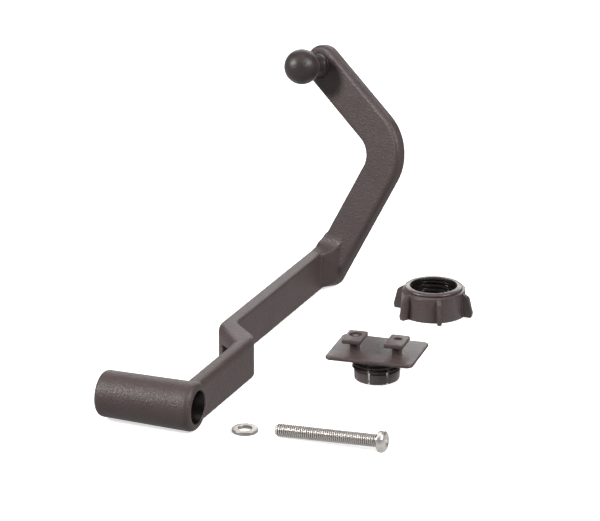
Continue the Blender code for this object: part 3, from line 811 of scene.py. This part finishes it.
def satin_plastic():
    """The same plastic with a smoother satin face, for the tab plate."""
    made = Shader("satin_plastic")
    made.tint(made.noise(90.0, 4.0, 0.6), (0.066, 0.046, 0.044), (0.082, 0.058, 0.056))
    fine = made.noise(1500.0, 2.0, 0.5, (0.35, 1.0, 1.0))
    made.roughen(fine, 0.30, 0.44)
    made.bumps([(fine, 0.8, 0.12)])
    return made.material


def gloss_plastic():
    """Polished dark plastic of the collar and collet, with faint moulding ripple."""
    made = Shader("gloss_plastic")
    made.tint(made.noise(120.0, 3.0, 0.5), (0.070, 0.050, 0.048), (0.090, 0.066, 0.064))
    made.roughen(made.noise(220.0, 4.0, 0.6), 0.24, 0.36, 0.35, 0.7)
    made.set(Coat_Weight=0.4, Coat_Roughness=0.30)
    made.bumps([(made.noise(160.0, 2.0, 0.4), 0.12, 0.10)])
    return made.material


def recess_painted_shade():
    """Painted shade: the same plastic made near-black deep inside a bore or a thread, where shade falls."""
    made = Shader("recess_painted_shade")
    made.tint(made.noise(120.0, 3.0, 0.5), (0.006, 0.004, 0.004), (0.012, 0.008, 0.008))
    made.roughen(made.noise(300.0), 0.22, 0.34, 0.0, 1.0)
    made.set(Specular_IOR_Level=0.3)
    return made.material


def stainless_steel():
    """Rolled and turned stainless steel, slightly warm, with fine scratches."""
    made = Shader("stainless_steel")
    made.tint(made.noise(180.0, 4.0, 0.6), (0.84, 0.80, 0.76), (0.96, 0.93, 0.90))
    made.set(Metallic=0.8)
    scratches = made.noise(900.0, 3.0, 0.6, (1.0, 6.0, 6.0))
    made.roughen(scratches, 0.20, 0.32)
    made.bumps([(scratches, 0.10, 0.02)])
    return made.material


def painted_shade_steel(name, low, high):
    """Darker, duller copy of the steel as painted shade: the washer, and the bottoms of the screw's thread.
    """
    made = Shader(name)
    made.tint(made.noise(240.0, 4.0, 0.6), low, high)
    made.set(Metallic=0.9)
    made.roughen(made.noise(900.0), 0.30, 0.42, 0.0, 1.0)
    return made.material


def darken_inside(obj, place, radius, low, high):
    """Paints shade: gives the second, darker material to faces within radius of the place's own Z, from low
    to high along it.
    """
    to_local = (Matrix.Diagonal((MM, MM, MM, 1.0)) @ KIT @ place).inverted()
    for face in obj.data.polygons:
        at = to_local @ face.center
        if hypot(at.x, at.y) < radius and low < at.z < high:
            face.material_index = 1


# ---------------------------------------------------------------- stage


def make_world(scene):
    """Dim grey surroundings, a little lighter below the horizon, as a table throws light back up."""
    world = bpy.data.worlds.new("dim_studio")
    scene.world = world
    world.use_nodes = True
    tree = world.node_tree
    where = tree.nodes.new("ShaderNodeTexCoord").outputs["Generated"]
    split = tree.nodes.new("ShaderNodeSeparateXYZ")
    tree.links.new(where, split.inputs["Vector"])
    height = tree.nodes.new("ShaderNodeMapRange")
    height.inputs["From Min"].default_value = -0.3
    height.inputs["From Max"].default_value = 0.3
    height.inputs["To Min"].default_value = WORLD_BELOW
    height.inputs["To Max"].default_value = WORLD_ABOVE
    tree.links.new(split.outputs["Z"], height.inputs["Value"])
    tree.links.new(height.outputs["Result"], tree.nodes["Background"].inputs["Strength"])
    tree.nodes["Background"].inputs["Color"].default_value = (1.0, 0.99, 0.985, 1.0)


def make_table(scene):
    """A plain white light table. It glows a little, so shadows on it stay faint, and lights nothing."""
    built = bmesh.new()
    bmesh.ops.create_grid(built, x_segments=1, y_segments=1, size=TABLE_SIZE)
    top = bpy.data.meshes.new("table_top")
    built.to_mesh(top)
    built.free()
    table = bpy.data.objects.new("table_top", top)
    table.location.z = -0.0001
    table.visible_diffuse = table.visible_glossy = False
    scene.collection.objects.link(table)
    paper = Shader("pale_paper")
    paper.set(Roughness=0.9, Specular_IOR_Level=0.1)
    paper.set(Emission_Color=(1.0, 1.0, 1.0, 1.0), Emission_Strength=TABLE_GLOW)
    paper.link(paper.ramp(paper.noise(300.0), 0.90, 0.93), paper.main.inputs["Base Color"])
    top.materials.append(paper.material)


def make_backdrop(scene):
    """A plain white wall far round the table. It lights nothing, and only low views see it."""
    built = bmesh.new()
    shape = {"segments": 96, "radius1": BACKDROP_R, "radius2": BACKDROP_R, "depth": BACKDROP_HEIGHT}
    bmesh.ops.create_cone(built, cap_ends=False, **shape)
    wall = bpy.data.meshes.new("backdrop")
    built.to_mesh(wall)
    built.free()
    backdrop = bpy.data.objects.new("backdrop", wall)
    backdrop.location.z = BACKDROP_HEIGHT / 2 - 0.01
    backdrop.visible_diffuse = backdrop.visible_glossy = backdrop.visible_shadow = False
    scene.collection.objects.link(backdrop)
    plain = Shader("plain_white")
    plain.set(Base_Color=(0.0, 0.0, 0.0, 1.0))
    plain.set(Emission_Color=(1.0, 1.0, 1.0, 1.0), Emission_Strength=BACKDROP_GLOW)
    wall.materials.append(plain.material)


def make_stage():
    """Pale table, dim surroundings, and soft lights from both sides, above and behind."""
    scene = bpy.context.scene
    scene.view_settings.view_transform = "Standard"
    make_world(scene)
    make_table(scene)
    make_backdrop(scene)
    for name, offset, size, power in SOFT_LIGHTS:
        light = bpy.data.lights.new(name, "AREA")
        light.shape = "RECTANGLE"
        light.size, light.size_y = size
        light.energy = power
        lamp = bpy.data.objects.new(name, light)
        lamp.location = offset
        lamp.rotation_euler = (LIGHT_TARGET - Vector(offset)).to_track_quat("-Z", "Y").to_euler()
        scene.collection.objects.link(lamp)


def make_camera(datum):
    """The main view: from ahead, to the right and a little above, with a long lens."""
    level = cos(CAMERA_RISE)
    back = Vector((sin(CAMERA_TURN) * level, -cos(CAMERA_TURN) * level, sin(CAMERA_RISE)))
    eye = CAMERA_AIM + back * CAMERA_DISTANCE + datum
    camera = bpy.data.cameras.new("camera")
    camera.lens = CAMERA_LENS
    camera.sensor_width = 36.0
    camera.clip_start, camera.clip_end = 0.01, 20.0
    holder = bpy.data.objects.new("camera", camera)
    holder.location = eye * MM
    holder.rotation_euler = (pi / 2 - CAMERA_RISE, 0.0, CAMERA_TURN)
    bpy.context.scene.collection.objects.link(holder)
    bpy.context.scene.camera = holder


# ---------------------------------------------------------------- scene

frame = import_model()
joints = {joint["name"]: joint for joint in frame["joints"]}

arm_low = Vector(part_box("arm_moulding")[0]) / MM
DATUM = Vector((arm_low.x + SLEEVE_LENGTH, arm_low.y + SLEEVE_R_MOUTH, 0.0))
KIT = Matrix.Translation(DATUM)


def middle(node):
    low, high = (Vector(corner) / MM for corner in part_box(node))
    return Matrix.Translation(Vector(((low.x + high.x) / 2, (low.y + high.y) / 2, 0.0)) - DATUM)


def bolt_place():
    """The screw's own Z runs from its tip to its head along its joint's axis."""
    joint = joints["bolt_turn"]
    along = Vector(joint["axis"]).normalized()
    at = Vector(joint["pos_m"]) / MM - DATUM
    return Matrix.Translation(at) @ Vector((0, 0, 1)).rotation_difference(along).to_matrix().to_4x4()


collar = Matrix.Translation(Vector(joints["collar_turn"]["pos_m"]) / MM - DATUM)
adapter = middle("collet_socket") @ Matrix.Rotation(ADAPTER_TURN, 4, "Z")
screw = bolt_place()
grained, satin, glossy, steel = grained_plastic(), satin_plastic(), gloss_plastic(), stainless_steel()
# Painted shade: near-black plastic for the inside of the sleeve's bore and the collar's thread.
recess = recess_painted_shade()
# Painted shade: darker steel in the bottoms of the screw's thread, and on the washer for the dark
# surroundings it reflects.
groove = painted_shade_steel("thread_bottom_painted_shade", (0.22, 0.19, 0.17), (0.32, 0.28, 0.26))
painted_shade_washer = painted_shade_steel("washer_painted_shade_steel", (0.40, 0.37, 0.34), (0.54, 0.50, 0.47))

# Second materials, painted shade: (material, place, radius, low, high) for the faces that darken_inside()
# picks.
darker_inside = {
    "arm_moulding": (recess, sleeve_place(), COUNTERBORE_R + 0.1, -COUNTERBORE_DEPTH - 0.1, -0.45),
    "collar_nut": (recess, collar, 12.0, 0.5, NUT_HEIGHT - 0.4),
    "button_head_bolt": (groove, screw, BOLT_ROOT_R + 0.27, 1.0, BOLT_LENGTH - 0.6),
}

for piece, node, body, finish, slot in (
    (make_arm(), "arm_moulding", "arm", grained, "grained_plastic"),
    (make_ball_stud(), "ball_stud", "arm", ball_plastic(), "grained_plastic"),
    (make_collar_nut(collar), "collar_nut", "collar", glossy, "gloss_plastic"),
    (make_collet(adapter), "collet_socket", "adapter", glossy, "gloss_plastic"),
    (make_tab_plate(adapter), "tab_plate", "adapter", satin, "satin_plastic"),
    (make_washer(middle("washer")), "washer", "washer_body", painted_shade_washer, "stainless_steel"),
    (make_bolt(screw), "button_head_bolt", "bolt", steel, "stainless_steel"),
):
    piece.data.materials.clear()
    piece.data.materials.append(finish)
    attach(piece, body)
    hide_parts(node)
    # Painted shade: faces deep in bores and thread bottoms get the darker second material.
    if node in darker_inside:
        material, *where = darker_inside[node]
        piece.data.materials.append(material)
        darken_inside(piece, *where)

make_stage()
make_camera(DATUM)
